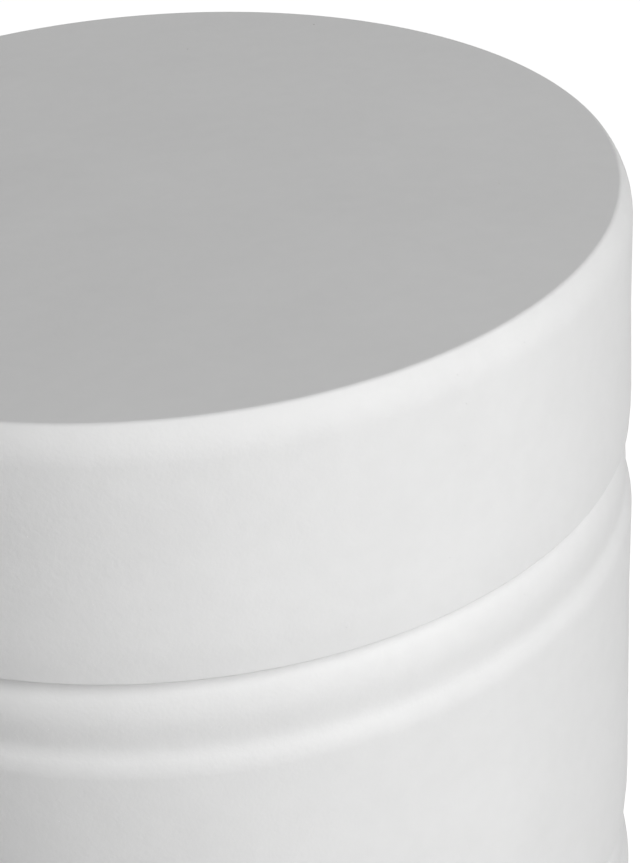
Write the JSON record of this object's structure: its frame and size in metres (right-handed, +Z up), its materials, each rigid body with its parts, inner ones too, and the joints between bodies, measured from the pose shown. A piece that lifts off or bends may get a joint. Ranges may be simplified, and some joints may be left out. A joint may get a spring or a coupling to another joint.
{
  "type": "outdoor accent table",
  "caption": "Round cast-stone drum table in stacked bands parted by creases, hollow inside, clamped by tie rods and standing on screw-adjusted levelling feet.",
  "frame": {"origin": "on the floor, under the middle of the drum", "axes": "+Z up along the drum's axis; +X and +Y each pass over a tie rod, and the feet stand at 45 degrees between them"},
  "size_m": [0.4071, 0.4072, 0.457],
  "materials": {
    "cast_stone": "matte off-white fibre-reinforced cast stone, fine grain, faint clouding and pinholes",
    "bedding": "soft grey elastic bedding",
    "zinc_steel": "bright zinc-plated steel",
    "insert_brass": "turned brass",
    "foot_nylon": "moulded black nylon",
    "sole_rubber": "dark grey non-slip rubber"
  },
  "bodies": {
    "root": {"top_section": "cast_stone", "middle_section": "cast_stone", "base_section": "cast_stone", "upper_seam_bed": "bedding", "lower_seam_bed": "bedding", "rod_ferrules": "zinc_steel", "rod_washers": "zinc_steel", "rod_nuts": "zinc_steel", "tie_rod_1": "zinc_steel", "tie_rod_2": "zinc_steel", "tie_rod_3": "zinc_steel", "tie_rod_4": "zinc_steel", "foot_insert_1": "insert_brass", "foot_insert_2": "insert_brass", "foot_insert_3": "insert_brass", "foot_insert_4": "insert_brass"},
    "foot_1": {"foot_cup_1": "foot_nylon", "foot_sole_1": "sole_rubber"},
    "stud_1": {"foot_stud_1": "zinc_steel"},
    "foot_2": {"foot_cup_2": "foot_nylon", "foot_sole_2": "sole_rubber"},
    "stud_2": {"foot_stud_2": "zinc_steel"},
    "foot_3": {"foot_cup_3": "foot_nylon", "foot_sole_3": "sole_rubber"},
    "stud_3": {"foot_stud_3": "zinc_steel"},
    "foot_4": {"foot_cup_4": "foot_nylon", "foot_sole_4": "sole_rubber"},
    "stud_4": {"foot_stud_4": "zinc_steel"}
  },
  "joints": [
    {"name": "foot_1_height", "type": "slide", "parent": "root", "child": "foot_1", "axis": [0, 0, -1], "range_m": [0, 0.01]},
    {"name": "stud_1_turn", "type": "hinge", "parent": "foot_1", "child": "stud_1", "pos_m": [0.11031, 0.11031, 0.0034], "axis": [0, 0, -1], "range_deg": [0, 2880]},
    {"name": "foot_2_height", "type": "slide", "parent": "root", "child": "foot_2", "axis": [0, 0, -1], "range_m": [0, 0.01]},
    {"name": "stud_2_turn", "type": "hinge", "parent": "foot_2", "child": "stud_2", "pos_m": [-0.11031, 0.11031, 0.0034], "axis": [0, 0, -1], "range_deg": [0, 2880]},
    {"name": "foot_3_height", "type": "slide", "parent": "root", "child": "foot_3", "axis": [0, 0, -1], "range_m": [0, 0.01]},
    {"name": "stud_3_turn", "type": "hinge", "parent": "foot_3", "child": "stud_3", "pos_m": [-0.11031, -0.11031, 0.0034], "axis": [0, 0, -1], "range_deg": [0, 2880]},
    {"name": "foot_4_height", "type": "slide", "parent": "root", "child": "foot_4", "axis": [0, 0, -1], "range_m": [0, 0.01]},
    {"name": "stud_4_turn", "type": "hinge", "parent": "foot_4", "child": "stud_4", "pos_m": [0.11031, -0.11031, 0.0034], "axis": [0, 0, -1], "range_deg": [0, 2880]}
  ],
  "couplings": [
    {"joint": "stud_1_turn", "follows": "foot_1_height", "rad_per_m": 5026.5},
    {"joint": "stud_2_turn", "follows": "foot_2_height", "rad_per_m": 5026.5},
    {"joint": "stud_3_turn", "follows": "foot_3_height", "rad_per_m": 5026.5},
    {"joint": "stud_4_turn", "follows": "foot_4_height", "rad_per_m": 5026.5}
  ]
}
